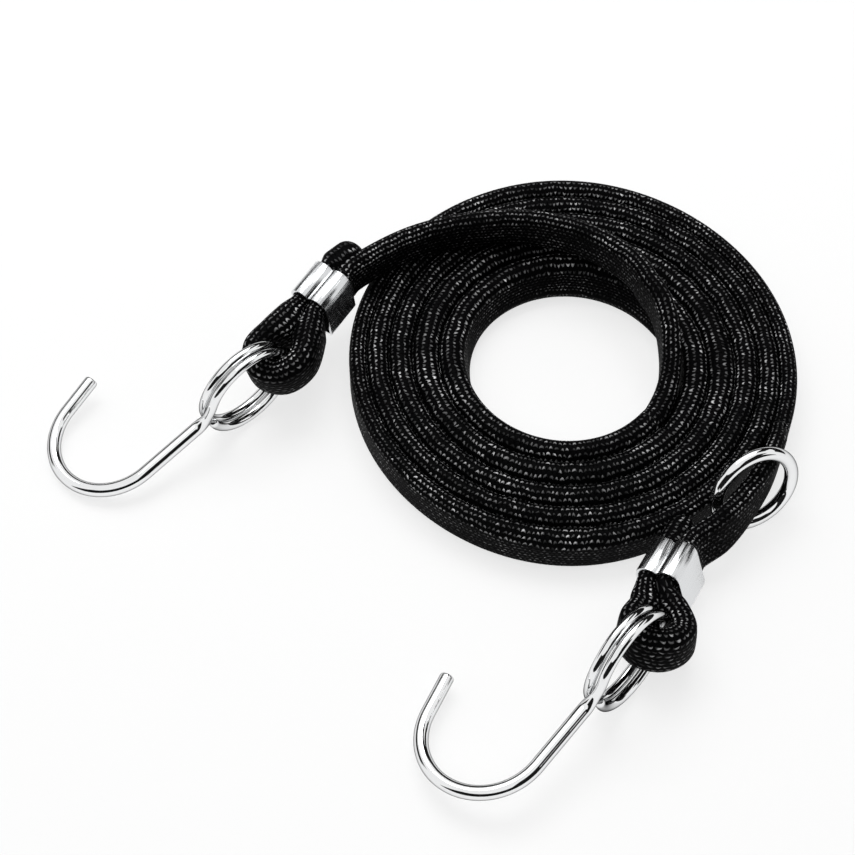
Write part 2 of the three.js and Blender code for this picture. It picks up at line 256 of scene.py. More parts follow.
# The following numbers shape the highlights painted into the braid's colour: a glint on the top of each float,
# full on the crown, dimmer in broad patches and on the walls.
FLOAT_TOP = (0.6, 1.0)
FLOAT_LIT_END = (-0.2, 0.1, 0.1, 1)
# Where the painted top light falls on the braid: full painted highlights on the crown, fading to a share of
# them on the walls.
CROWN_MIDDLE = ROWS / 2
CROWN_SHIFT = 0.45
CROWN_EDGE = (ROWS * 0.07, ROWS * 0.15)
# Broad random patches where the painted highlights on the braid are brighter or dimmer.
GLINT_PATCH_SCALE = (0.09, 0.16, 1)
GLINT_PATCH_POWER = 1.5
GLINT_PATCH_LEAST = 0.2
GLINT_SPREAD = 1.1
GLINT_LEAST = 0.12
YARN_DARK = (0.001, 0.001, 0.0012, 1)
# The colour of the painted highlights on the black yarn.
PAINTED_GLINT_COLOUR = (0.85, 0.85, 0.86, 1)
WALL_SHINE = 0.4
LOOP_WALL_SHINE = 0.7
RUBBER_DARK = (0.38, 0.3, 0.2, 1)
RUBBER_LIGHT = (0.55, 0.46, 0.34, 1)


def unit(vectors):
    return vectors / np.linalg.norm(vectors, axis=-1, keepdims=True)


def ease(share):
    share = np.clip(share, 0, 1)
    return share * share * (3 - 2 * share)


def tuck(turn):
    """How far the innermost turn is drawn in: COIL_TUCK at its peak, two thirds of the way round."""
    return np.where((turn > 0) & (turn < 1), COIL_TUCK * TUCK_PEAK * turn * turn * (1 - turn), 0)


def coil_place(turn):
    radius = COIL_INNER_RADIUS + COIL_PITCH * turn - COIL_PITCH_LOSS * turn * turn - tuck(turn)
    angle = COIL_START - 2 * math.pi * turn
    x = COIL_CENTRE[0] + radius * np.cos(angle)
    y = COIL_CENTRE[1] + COIL_OVAL * radius * np.sin(angle)
    return np.stack([x, y, np.full_like(x, CORD_WIDTH / 2)], axis=-1)


def cord_section():
    """Round edges and flat sides, as shares: across, round part of the height, straight part of it."""
    quarter = np.linspace(-math.pi / 2, 0, ARC_POINTS, endpoint=False)
    crown = np.linspace(0, math.pi, 2 * ARC_POINTS, endpoint=False)
    last = np.linspace(math.pi, 1.5 * math.pi, ARC_POINTS, endpoint=False)
    rise = np.linspace(-1, 1, SIDE_POINTS, endpoint=False)
    across = [np.cos(quarter), np.ones(SIDE_POINTS), np.cos(crown), -np.ones(SIDE_POINTS), np.cos(last)]
    curved = [np.sin(quarter), np.zeros(SIDE_POINTS), np.sin(crown), np.zeros(SIDE_POINTS), np.sin(last)]
    straight = [-np.ones(ARC_POINTS), rise, np.ones(2 * ARC_POINTS), -rise, -np.ones(ARC_POINTS)]
    return np.concatenate(across), np.concatenate(curved), np.concatenate(straight)


def band_rings(places, ups, across, high):
    """One ring of points at each place of a band; across and high are its half sizes point by point."""
    along = unit(np.gradient(places, axis=0))
    left = unit(np.cross(ups, along))
    up = np.cross(along, left)
    return places[:, None] + left[:, None] * across[..., None] + up[:, None] * high[..., None]


def strip_rings(places, ups, half, high, offset):
    """The rings of a plain strip, for the bore of the sleeve and for the rubber in it."""
    across = half[:, None] * STRIP_ACROSS + offset[:, None]
    return band_rings(places, ups, across, np.broadcast_to(STRIP_UP * high, across.shape))


def wall_faces(count, points, first, outwards):
    ring = first + np.arange(count - 1)[:, None] * points
    here = np.arange(points)[None]
    following = (here + 1) % points
    a, b, c, d = ring + here, ring + following, ring + points + here, ring + points + following
    order = (a, b, d, c) if outwards else (a, c, d, b)
    return np.stack(order, axis=-1).reshape(-1, 4).tolist()


def rim_faces(outer, outer_points, bore, bore_points, flip):
    """Closes the ring between the outer edge and the bore at one end of a sleeve."""
    faces = []
    for k in range(outer_points):
        near = bore + k * bore_points // outer_points
        far = bore + ((k + 1) * bore_points // outer_points) % bore_points
        following = outer + (k + 1) % outer_points
        made = [[outer + k, near, following]]
        if far != near:
            made.append([following, near, far])
        faces += [face[::-1] for face in made] if flip else made
    return faces


def new_piece(name, points, faces):
    mesh = bpy.data.meshes.new(name)
    metres = points.reshape(-1, 3) / 1000 + np.array(layout_origin)
    mesh.from_pydata(metres.tolist(), [], faces)
    piece = bpy.data.objects.new(name, mesh)
    bpy.context.scene.collection.objects.link(piece)
    bpy.ops.object.select_all(action="DESELECT")
    bpy.context.view_layer.objects.active = piece
    piece.select_set(True)
    bpy.ops.object.shade_smooth_by_angle(angle=CORD_SMOOTH)
    return piece


def picked_out(values, at):
    """Values at fractional indexes."""
    low = np.floor(at).astype(int)
    high = np.minimum(low + 1, len(values) - 1)
    share = (at - low).reshape(-1, *[1] * (values.ndim - 1))
    return values[low] * (1 - share) + values[high] * share


def thinned(count, every, start=0):
    """Every so many of the indexes from the start, and the last one."""
    return np.unique(np.append(np.arange(start, count, every), count - 1))


def lay_braid(piece, places, points):
    """Lays the braid on the outer wall, which has the piece's first faces: floats along it, rows round it."""
    across, curved, straight = cord_section()
    gone = np.concatenate([[0], np.cumsum(np.linalg.norm(np.diff(places, axis=0), axis=1))]) / FLOAT_LENGTH
    high = CORD_HALF * curved + (CORD_WIDTH / 2 - CORD_HALF) * straight
    ring = np.stack([CORD_HALF * across, high], axis=-1)
    steps = np.linalg.norm(np.roll(ring, -1, axis=0) - ring, axis=1)
    rows = np.concatenate([[0], np.cumsum(steps)]) / steps.sum() * ROWS
    wall_uv = np.empty((len(places) - 1, points, 4, 2), np.float32)
    wall_uv[..., 0] = np.stack([gone[:-1], gone[:-1], gone[1:], gone[1:]], axis=-1)[:, None]
    wall_uv[..., 1] = np.stack([rows[:-1], rows[1:], rows[1:], rows[:-1]], axis=-1)[None]
    uv = np.zeros((len(piece.data.loops), 2), np.float32)
    uv[: wall_uv.size // 2] = wall_uv.reshape(-1, 2)
    piece.data.uv_layers.new(name="braid").data.foreach_set("uv", uv.ravel())


def add_sheath(name, places, ups, half, look, sealed=0, offset=0.0, left_belly=0.0, right_belly=0.0):
    """Braided sleeve along the places. Sealed is how many of the first places round off a closed end.
    The bellies are how far its two flat sides bulge."""
    across, curved, straight = cord_section()
    tall = CORD_WIDTH / 2
    shrink = np.ones(len(places))
    half, offset, left_belly, right_belly = (
        np.broadcast_to(values, shrink.shape) for values in (half, offset, left_belly, right_belly)
    )
    if sealed:
        dome = np.linspace(SEAL_START, math.pi / 2, 2 * sealed, endpoint=False)
        at = np.concatenate([sealed * (1 - np.cos(dome)), np.arange(sealed, len(places))])
        shrink = np.concatenate([np.sin(dome), np.ones(len(places) - sealed)])
        places, ups, half, offset, left_belly, right_belly = (
            picked_out(values, at) for values in (places, ups, half, offset, left_belly, right_belly)
        )
    round_half = half * shrink
    straight_half = (tall - half) * (SEAL_HEIGHT + (1 - SEAL_HEIGHT) * shrink)
    high = round_half[:, None] * curved + straight_half[:, None] * straight
    left = left_belly[:, None] * np.maximum(across, 0)
    right = right_belly[:, None] * np.minimum(across, 0)
    bulge = (left + right) * np.maximum(0, 1 - (high / tall) ** BULGE_POWER)
    outer = band_rings(places, ups, round_half[:, None] * across + offset[:, None] + bulge, high)
    inside = slice(2 * sealed + 2 if sealed else 0, None)
    bore = strip_rings(
        places[inside],
        ups[inside],
        np.minimum(half, COIL_HALF)[inside] - SHEATH_WALL,
        tall - SHEATH_EDGE_WALL,
        offset[inside],
    )
    count, points = outer.shape[:2]
    first = count * points
    last = first + (len(bore) - 1) * STRIP_POINTS
    faces = wall_faces(count, points, 0, True)
    faces += wall_faces(len(bore), STRIP_POINTS, first, False)
    faces += rim_faces((count - 1) * points, points, last, STRIP_POINTS, True)
    if sealed:
        faces.append(list(range(points))[::-1])
        faces.append(list(range(first, first + STRIP_POINTS)))
    else:
        faces += rim_faces(0, points, first, STRIP_POINTS, False)
    piece = new_piece(name, np.concatenate([outer.reshape(-1, 3), bore.reshape(-1, 3)]), faces)
    lay_braid(piece, places, points)
    piece.data.materials.append(look)
    return piece


def add_rubber(name, places, ups, half, start=0, offset=0.0):
    """Solid strip of rubber inside the sleeve."""
    picked = thinned(len(places), CORE_STRIDE, start)
    rings = strip_rings(
        places[picked],
        ups[picked],
        np.minimum(half, COIL_HALF)[picked] - SHEATH_WALL - CORE_PLAY,
        CORD_WIDTH / 2 - SHEATH_EDGE_WALL - CORE_PLAY,
        np.broadcast_to(offset, (len(places),))[picked],
    )
    last = (len(picked) - 1) * STRIP_POINTS
    faces = wall_faces(len(picked), STRIP_POINTS, 0, True)
    faces.append(list(range(STRIP_POINTS))[::-1])
    faces.append(list(range(last, last + STRIP_POINTS)))
    piece = new_piece(name, rings, faces)
    piece.data.materials.append(rubber_look)
    return piece


def braid_material(name, wall_shine):
    """Rows of short arched floats of yarn, each row half a float on from the last, as in a tubular braid.
    The yarn is black with painted highlights on the floats: full on the crown, as painted top light, and
    only a share of them on the walls."""
    material, yarn = bare_material(name)
    uv = yarn.make("ShaderNodeUVMap", {"uv_map": "braid"})
    tension = yarn.make("ShaderNodeTexNoise", inputs={"Vector": uv, "Scale": 0.4, "Detail": 2}, output="Color")
    pull = {0: tension, 1: YARN_PULL, 2: uv}
    pulled = yarn.make("ShaderNodeVectorMath", {"operation": "MULTIPLY_ADD"}, pull)
    along = yarn.make("ShaderNodeSeparateXYZ", inputs={0: pulled}, output="X")
    around = along.also("Y")
    row = around.math("FLOOR")
    staggered = along + row.math("FLOORED_MODULO", 2) * 0.5
    cell = staggered.math("FLOOR")
    forward = staggered - cell - 0.5
    sideways = around - row - FLOAT_SEAT + forward ** 2 * FLOAT_ARCH
    float_shape = (1 - (sideways / FLOAT_HALF_WIDTH) ** 2) * (1 - (forward / FLOAT_HALF_LENGTH) ** 2)
    crest = float_shape.math("MAXIMUM", 0.0) ** 0.5
    numbered = yarn.make("ShaderNodeCombineXYZ", inputs={0: row, 1: cell})
    chance = yarn.make("ShaderNodeTexWhiteNoise", {"noise_dimensions": "2D"}, {"Vector": numbered}, "Value")
    slant = yarn.make("ShaderNodeSeparateXYZ", inputs={0: chance.also("Color")}, output="Y") * 2 - 1
    broad = yarn.make("ShaderNodeVectorMath", {"operation": "MULTIPLY"}, {0: uv, 1: GLINT_PATCH_SCALE})
    patch = yarn.make("ShaderNodeTexNoise", inputs={"Vector": broad, "Scale": 1, "Detail": 2})
    # Broad random patches that make the painted highlights brighter or dimmer.
    glint_patches = yarn.make("ShaderNodeMapRange", inputs={"Value": patch, "From Min": 0.35, "From Max": 0.65})
    # A painted highlight on the top of each float, on the whole arch or on one end of it.
    painted_float_glint = crest.rise(*FLOAT_TOP) * (slant * forward).rise(*FLOAT_LIT_END)
    # Painted top light: full painted highlights on the crown, only a share of them on the walls.
    crown = (around - CROWN_MIDDLE - CROWN_SHIFT).math("ABSOLUTE").rise(*CROWN_EDGE, 1, wall_shine)
    glint_patch_share = glint_patches ** GLINT_PATCH_POWER * (1 - GLINT_PATCH_LEAST) + GLINT_PATCH_LEAST
    glint = painted_float_glint * (chance ** 2 * GLINT_SPREAD + GLINT_LEAST) * glint_patch_share * crown
    bump = yarn.make("ShaderNodeBump", inputs={"Strength": 1, "Distance": 0.0005, "Height": crest})
    surface = yarn.make(
        "ShaderNodeBsdfPrincipled",
        inputs={
            # The painted highlights are mixed into the black yarn's base colour.
            "Base Color": glint.between(YARN_DARK, PAINTED_GLINT_COLOUR),
            "Roughness": 0.6 - glint * 0.2,
            "Specular IOR Level": 0.025,
            "Normal": bump,
        },
    )
    yarn.make("ShaderNodeOutputMaterial", inputs={"Surface": surface})
    return material


def rubber_material():
    material, strip = bare_material("core_rubber")
    place = strip.make("ShaderNodeTexCoord", output="Object")
    grain = strip.make("ShaderNodeTexNoise", inputs={"Vector": place, "Scale": 900, "Detail": 3})
    colour = grain.between(RUBBER_DARK, RUBBER_LIGHT)
    bump = strip.make("ShaderNodeBump", inputs={"Strength": 0.4, "Distance": 0.0002, "Height": grain})
    surface = strip.make(
        "ShaderNodeBsdfPrincipled",
        inputs={"Base Color": colour, "Roughness": 0.75, "Normal": bump},
    )
    strip.make("ShaderNodeOutputMaterial", inputs={"Surface": surface})
    return material


braid_look = braid_material("black_braid", WALL_SHINE)
loop_look = braid_material("black_braid_loop", LOOP_WALL_SHINE)
rubber_look = rubber_material()

turns = np.append(np.arange(0, COIL_TURNS, 1 / COIL_STEPS), COIL_TURNS)
coil_places = coil_place(turns)
coil_ways = unit(np.gradient(coil_places, axis=0))
outward = unit(np.cross(UP, coil_ways))
tucked = tuck(turns)
lean = np.arcsin((LEAN_OUT + LEAN_IN) * tucked / CORD_WIDTH)
coil_ups = UP * np.cos(lean)[:, None] + outward * np.sin(lean)[:, None]
crowns = coil_places + outward * (LEAN_OUT * tucked)[:, None]

# Each turn swells until it meets the next one. The outermost turn is slimmer at the coil's left and right
# and a little fuller in front and behind.
apart = np.linalg.norm(crowns[COIL_STEPS:] - crowns[:-COIL_STEPS], axis=1)
leaning = np.sin(lean[:-COIL_STEPS])
reach = (3 + np.cos(lean[:-COIL_STEPS]) - leaning) / 2
fill = np.clip((apart - COIL_CREASE - COIL_HALF * (2 - leaning)) / reach, 0, COIL_FILL)
side_share = 1 - TRIM_LOSS * outward[-COIL_STEPS:, 1] ** TRIM_POWER
trim = OUTER_TRIM * side_share * ease(np.arange(COIL_STEPS) / TRIM_STEPS)
fill_outside = np.concatenate([fill, -trim])
fill_inside = np.concatenate([np.zeros(COIL_STEPS), fill])
coil_half = COIL_HALF + (fill_outside + fill_inside) / 2
coil_offset = (fill_outside - fill_inside) / 2
coil_line = crowns - outward * (CORD_WIDTH / 2 * np.sin(lean))[:, None]
coil_line[:, 2] = (CORD_WIDTH / 2 - coil_half) * np.cos(lean) + coil_half
coil_line[:, 2] += np.abs(coil_offset) * np.sin(lean)
coil = add_sheath("coil_cord", coil_line, coil_ups, coil_half, braid_look, offset=coil_offset)
coil_rubber = add_rubber("coil_rubber", coil_line, coil_ups, coil_half, offset=coil_offset)
for piece, node in ((coil, "coil_sheath"), (coil_rubber, "coil_core")):
    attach(piece, "coil")
    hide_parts(node)

# Hooks. Each is one length of chromed wire: a J with a straight shank, drawn thinner at the neck and
# wound nearly twice round into an eye whose two strands lie side by side.
WIRE = 4.3
WIRE_RESOLUTION = 8
WIRE_SMOOTH = math.radians(40)
MERGE_DISTANCE = 0.000001
EYE_WIRE = 3
EYE_RADIUS = 15.2
EYE_LEAN = math.radians(8)
EYE_JOIN = 32
EYE_STEP = 4
EYE_END = 719
EYE_END_EDGE = 0.4
EYE_CROSS = 190
EYE_CROSS_SPAN = 90
STRAND_OFFSET = 1.7
STRAND_GAP = 0.4
STRAND_GAP_SPAN = 50
SHANK_LENGTH = 41.3
BEND_RADIUS = 18.8
BEND = math.radians(166)
BEND_STEPS = 48
TIP_LENGTH = 13
TIP_EDGE = 0.8
TIP_STEPS = 5
NECK_START = EYE_RADIUS + 1.3 * WIRE
NECK_BEND = EYE_RADIUS + 0.6 * WIRE
NECK_SIDE = 0.2 * STRAND_OFFSET
NECK_RUN = 4.5
NECK_DRAW = 1.5
NECK_STEPS = 24
WELD_START = EYE_RADIUS + 3 * WIRE
WELD_STOP = EYE_RADIUS + EYE_WIRE / 2 - 0.6
WELD_LENGTH = 5
WELD_STEPS = 11
WELD_RADIUS = WIRE / 2 - 0.02
WELD_TAPER = 0.5
WELD_NOSE = 0.6
WELD_NOSE_RADIUS = WIRE / 2 - 1.1
RIGHT_EYE = (56.7, -91.7, 16.75)


def turned(place, heading, pitch, roll):
    turn = Euler((math.radians(roll), math.radians(pitch), math.radians(heading)))
    return Matrix.Translation(place) @ turn.to_matrix().to_4x4()


def on_eye(degrees, radius, across):
    angle = math.radians(degrees)
    place = Vector((radius * math.cos(angle), across, radius * math.sin(angle)))
    return Matrix.Rotation(-EYE_LEAN, 3, "X") @ place


def strand_twist(degrees):
    """How far the eye's two strands have turned about each other where they change places."""
    return math.pi * ease((degrees - EYE_CROSS + EYE_CROSS_SPAN / 2) / EYE_CROSS_SPAN)


def eye_place(degrees):
    second = degrees >= 360
    sign = -1 if second else 1
    twist = strand_twist(degrees - 360 if second else degrees)
    behind = ease(1 - abs(degrees - 360) / STRAND_GAP_SPAN)
    across = sign * STRAND_OFFSET * math.cos(twist) - STRAND_GAP * behind
    return on_eye(degrees, EYE_RADIUS + sign * STRAND_OFFSET * math.sin(twist), across)


def on_bend(angle):
    return Vector((SHANK_LENGTH + BEND_RADIUS * math.sin(angle), BEND_RADIUS * (math.cos(angle) - 1), 0))


def hook_line():
    """Centre points of the hook's wire with its radius, from the tip to the end of the eye."""
    tip_way = Vector((math.cos(BEND), -math.sin(BEND), 0))
    tip_end = on_bend(BEND) + tip_way * TIP_LENGTH
    points = []
    for step in range(TIP_STEPS + 1):
        angle = math.pi / 2 * step / TIP_STEPS
        back = TIP_EDGE * (1 - math.cos(angle))
        points.append((tip_end - tip_way * back, WIRE / 2 - TIP_EDGE * (1 - math.sin(angle))))
    for step in range(BEND_STEPS + 1):
        points.append((on_bend(BEND * (1 - step / BEND_STEPS)), WIRE / 2))
    join = eye_place(EYE_JOIN)
    into = (eye_place(EYE_JOIN + 2) - join).normalized()
    neck = (Vector((NECK_START, 0, 0)), Vector((NECK_BEND, NECK_SIDE, 0)), join - into * NECK_RUN, join)
    for step in range(NECK_STEPS + 1):
        t = step / NECK_STEPS
        shares = ((1 - t) ** 3, 3 * t * (1 - t) ** 2, 3 * t * t * (1 - t), t ** 3)
        place = sum((point * share for point, share in zip(neck, shares)), Vector())
        points.append((place, (WIRE + (EYE_WIRE - WIRE) * ease(t * NECK_DRAW)) / 2))
    for degrees in range(EYE_JOIN + EYE_STEP, EYE_END, EYE_STEP):
        points.append((eye_place(degrees), EYE_WIRE / 2))
    points.append((eye_place(EYE_END), EYE_WIRE / 2 - EYE_END_EDGE))
    return points


def shank_end():
    """The straight shank runs on to the eye and ends in a short weld between the two strands."""
    points = [(Vector((WELD_START, 0, 0)), WELD_RADIUS)]
    for step in range(WELD_STEPS + 1):
        share = step / WELD_STEPS
        place = Vector((WELD_STOP + WELD_LENGTH * (1 - share), 0, 0))
        points.append((place, WELD_RADIUS - WELD_TAPER * share ** 3))
    points.append((Vector((WELD_STOP - WELD_NOSE, 0, 0)), WELD_NOSE_RADIUS))
    return points


def tidy_mesh(piece):
    """Welds the piece's doubled points and turns its faces outwards."""
    bpy.ops.object.select_all(action="DESELECT")
    bpy.context.view_layer.objects.active = piece
    piece.select_set(True)
    bpy.ops.object.mode_set(mode="EDIT")
    bpy.ops.mesh.select_all(action="SELECT")
    bpy.ops.mesh.remove_doubles(threshold=MERGE_DISTANCE)
    bpy.ops.mesh.normals_make_consistent(inside=False)
    bpy.ops.object.mode_set(mode="OBJECT")


def add_wire(name, lines, material):
    bpy.ops.object.select_all(action="DESELECT")
    bpy.ops.curve.primitive_nurbs_path_add()
    piece = bpy.context.object
    piece.name = name
    wire = piece.data
    wire.splines.clear()
    for points in lines:
        line = wire.splines.new("POLY")
        line.points.add(len(points) - 1)
        for point, (place, radius) in zip(line.points, points):
            point.co = (*in_frame(place), 1)
            point.radius = radius / 1000
    wire.dimensions = "3D"
    wire.bevel_depth = 1
    wire.bevel_resolution = WIRE_RESOLUTION
    wire.use_fill_caps = True
    bpy.ops.object.convert(target="MESH")
    tidy_mesh(piece)
    bpy.ops.object.shade_smooth_by_angle(angle=WIRE_SMOOTH)
    piece.data.materials.append(material)
    return piece


def chrome_material():
    material, plate = bare_material("bright_chrome")
    place = plate.make("ShaderNodeTexCoord", output="Object")
    wear = plate.make("ShaderNodeTexNoise", inputs={"Vector": place, "Scale": 260, "Detail": 4})
    bump = plate.make("ShaderNodeBump", inputs={"Strength": 0.1, "Distance": 0.0002, "Height": wear})
    surface = plate.make(
        "ShaderNodeBsdfPrincipled",
        inputs={
            "Base Color": (0.86, 0.865, 0.87, 1),
            "Metallic": 1,
            "Specular Tint": (0.02, 0.02, 0.02, 1),
            "Roughness": wear * 0.06 + 0.015,
            "Normal": bump,
        },
    )
    plate.make("ShaderNodeOutputMaterial", inputs={"Surface": surface})
    return material


chrome = chrome_material()
hook_places = {
    "left": turned(LEFT_EYE, heading=221, pitch=13, roll=3),
    "right": turned(RIGHT_EYE, heading=230, pitch=5.3, roll=12.5),
}
for side, hook_place in hook_places.items():
    hook = add_wire(
        f"{side}_wire_hook",
        [[(hook_place @ place, radius) for place, radius in line] for line in (hook_line(), shank_end())],
        chrome,
    )
    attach(hook, f"{side}_hook")
    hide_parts(f"{side}_hook")

# Ferrules. At each end of the cord a sleeve of folded sheet steel clamps two legs of the cord side by side.
# Its top is two round lobes with a groove between them, its lower corners are nearly square.
SLEEVE_LENGTH = 13.2
SLEEVE_WALL = 1
SLEEVE_PLAY = 0.4
SLEEVE_CORNER = 1.6
SLEEVE_EDGE = 0.25
SLEEVE_EDGE_ANGLE = math.radians(60)
SLEEVE_SMOOTH = math.radians(35)
LOBE_STEPS = 16
CORNER_STEPS = 6
LEG_OFFSET = 3
DRAWN_OUT = 0.003
LEFT_SLEEVE = (-33.4, 35.6, 22)
RIGHT_SLEEVE = (71.5, -61.6, 12)


def sleeve_outline():
    lobe = CORD_HALF + SLEEVE_PLAY + SLEEVE_WALL
    crown = CORD_WIDTH / 2 - CORD_HALF
    dip = math.acos(LEG_OFFSET / lobe)
    wide = LEG_OFFSET + lobe - SLEEVE_CORNER
    deep = crown + lobe - SLEEVE_CORNER
    outline = []
    for across, up, radius, start, stop, steps in (
        (LEG_OFFSET, crown, lobe, 0, math.pi - dip, range(LOBE_STEPS + 1)),
        (-LEG_OFFSET, crown, lobe, dip, math.pi, range(1, LOBE_STEPS + 1)),
        (-wide, -deep, SLEEVE_CORNER, math.pi, 1.5 * math.pi, range(CORNER_STEPS + 1)),
        (wide, -deep, SLEEVE_CORNER, 1.5 * math.pi, 2 * math.pi, range(CORNER_STEPS + 1)),
    ):
        for step in steps:
            angle = start + (stop - start) * step / steps[-1]
            outline.append((across + radius * math.cos(angle), up + radius * math.sin(angle)))
    return outline


def add_sleeve(name, end_place, material):
    outline = sleeve_outline()
    bpy.ops.object.select_all(action="DESELECT")
    bpy.ops.mesh.primitive_circle_add(vertices=len(outline))
    piece = bpy.context.object
    piece.name = name
    for vertex, (across, up) in zip(piece.data.vertices, outline):
        vertex.co = (-SLEEVE_LENGTH / 2000, across / 1000, up / 1000)
    bpy.ops.object.mode_set(mode="EDIT")
    bpy.ops.mesh.select_all(action="SELECT")
    bpy.ops.mesh.extrude_region_move(TRANSFORM_OT_translate={"value": (SLEEVE_LENGTH / 1000, 0, 0)})
    bpy.ops.mesh.select_all(action="SELECT")
    bpy.ops.mesh.normals_make_consistent(inside=False)
    bpy.ops.object.mode_set(mode="OBJECT")
    wall = piece.modifiers.new("wall", "SOLIDIFY")
    wall.thickness = SLEEVE_WALL / 1000
    wall.offset = -1
    bpy.ops.object.modifier_apply(modifier="wall")
    edges = piece.modifiers.new("edges", "BEVEL")
    edges.width = SLEEVE_EDGE / 1000
    edges.segments = 2
    edges.limit_method = "ANGLE"
    edges.angle_limit = SLEEVE_EDGE_ANGLE
    bpy.ops.object.modifier_apply(modifier="edges")
    tidy_mesh(piece)
    bpy.ops.object.shade_smooth_by_angle(angle=SLEEVE_SMOOTH)
    drawn = np.array([vertex.co for vertex in piece.data.vertices], np.float32) * (DRAWN_OUT, 1, 1)
    grain = piece.data.attributes.new("drawn_sheet", "FLOAT_VECTOR", "POINT")
    grain.data.foreach_set("vector", drawn.astype(np.float32).ravel())
    shift = Matrix.Diagonal((0.001, 0.001, 0.001, 1)) @ end_place @ Matrix.Diagonal((1000, 1000, 1000, 1))
    piece.data.transform(Matrix.Translation(layout_origin) @ shift)
    piece.data.materials.append(material)
    return piece


def sleeve_material():
    """Plated sheet with fine lengthwise lines from drawing."""
    material, sheet = bare_material("drawn_steel")
    drawn = sheet.make("ShaderNodeAttribute", {"attribute_name": "drawn_sheet"}, output="Vector")
    lines = sheet.make("ShaderNodeTexNoise", inputs={"Vector": drawn, "Scale": 1500, "Detail": 3})
    bump = sheet.make("ShaderNodeBump", inputs={"Strength": 0.35, "Distance": 0.0004, "Height": lines})
    surface = sheet.make(
        "ShaderNodeBsdfPrincipled",
        inputs={
            "Base Color": (0.72, 0.73, 0.74, 1),
            "Metallic": 1,
            "Roughness": lines * 0.15 + 0.08,
            "Normal": bump,
        },
    )
    sheet.make("ShaderNodeOutputMaterial", inputs={"Surface": surface})
    return material


drawn_steel = sleeve_material()
end_places = {
    "left": turned(LEFT_SLEEVE, heading=235, pitch=8, roll=0),
    "right": turned(RIGHT_SLEEVE, heading=241, pitch=-4, roll=20),
}
for side, end_place in end_places.items():
    sleeve = add_sleeve(f"{side}_sleeve", end_place, drawn_steel)
    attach(sleeve, f"{side}_end")
    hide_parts(f"{side}_ferrule")

# Loops. The cord leaves the ferrule towards the hook, goes through the hook's eye on the flat, comes back
# through the ferrule and ends behind it in a short rounded tail. Outside the ferrule it swells a little.
STEP = 0.6
CURVE_STEPS = 40
LEG_STUB = 1.3
LEG_HALF = 2.9
TAIL_LENGTHS = {"left": 13.8, "right": 13.6}
TAIL_TURNS = {"left": 4.2, "right": 0.6}
TAIL_SWELLS = {"left": 2.9, "right": 1.3}
TAIL_SWELL_RUN = 4.5
TAIL_LIFT = 0.6
TAIL_MIDDLE_LIFT = 0.2
TAIL_MIDDLE_TURN = 0.4
TAIL_SEAL = 9
TAIL_CORE_START = 12
LOOP_CLEARANCE = 0.5
LOOP_SIDE_ROOM = 0.5
LOOP_RUN = 2.4
LOOP_SHOULDER = (0.86, 0.6)
LOOP_SWELL = 1.2
LOOP_SWELL_RUN = 6
EYE_ANGLES = {"left": 179, "right": 198}
STRAND_LOOKOUT = (-24, -12, 0, 12, 24)
STRAND_ROOM = 0.3
MIDDLE_ROOM = 0.2
FREE_PAST = 1.5
FREE_ROOM = 9
SWELL_LIMIT = 3
# Indexes of the loop's points: the sleeve's back face, just out of its front face, beside the eye, on the
# shoulder of the bend, and the same three on the way back.
SLEEVE_BACK, LEAVING, BESIDE, SHOULDER, SHOULDER_BACK, BESIDE_BACK, RETURNING = 2, 5, 6, 7, 9, 10, 11


def flowing_line(points):
    """Places every STEP along a smooth line through the points, and how far along each point lies."""
    points = np.array([tuple(point) for point in points], float)
    before = 2 * points[0] - points[1]
    after = 2 * points[-1] - points[-2]
    knots = np.concatenate([[before], points, [after]])
    t = np.linspace(0, 1, CURVE_STEPS + 1)[:-1, None]
    dense = []
    for p0, p1, p2, p3 in zip(knots, knots[1:], knots[2:], knots[3:]):
        d0, d1, d2 = (math.sqrt(np.linalg.norm(b - a)) for a, b in ((p0, p1), (p1, p2), (p2, p3)))
        start = ((p1 - p0) / d0 - (p2 - p0) / (d0 + d1) + (p2 - p1) / d1) * d1
        stop = ((p2 - p1) / d1 - (p3 - p1) / (d1 + d2) + (p3 - p2) / d2) * d1
        bend = 2 * p1 - 2 * p2 + start + stop
        swing = -3 * p1 + 3 * p2 - 2 * start - stop
        dense.append(((bend * t + swing) * t + start) * t + p1)
    dense = np.concatenate([*dense, points[-1:]])
    gone = np.concatenate([[0], np.cumsum(np.linalg.norm(np.diff(dense, axis=0), axis=1))])
    wanted = np.linspace(0, gone[-1], max(2, round(gone[-1] / STEP)) + 1)
    places = np.stack([np.interp(wanted, gone, dense[:, axis]) for axis in range(3)], axis=-1)
    return places, wanted, gone[::CURVE_STEPS]


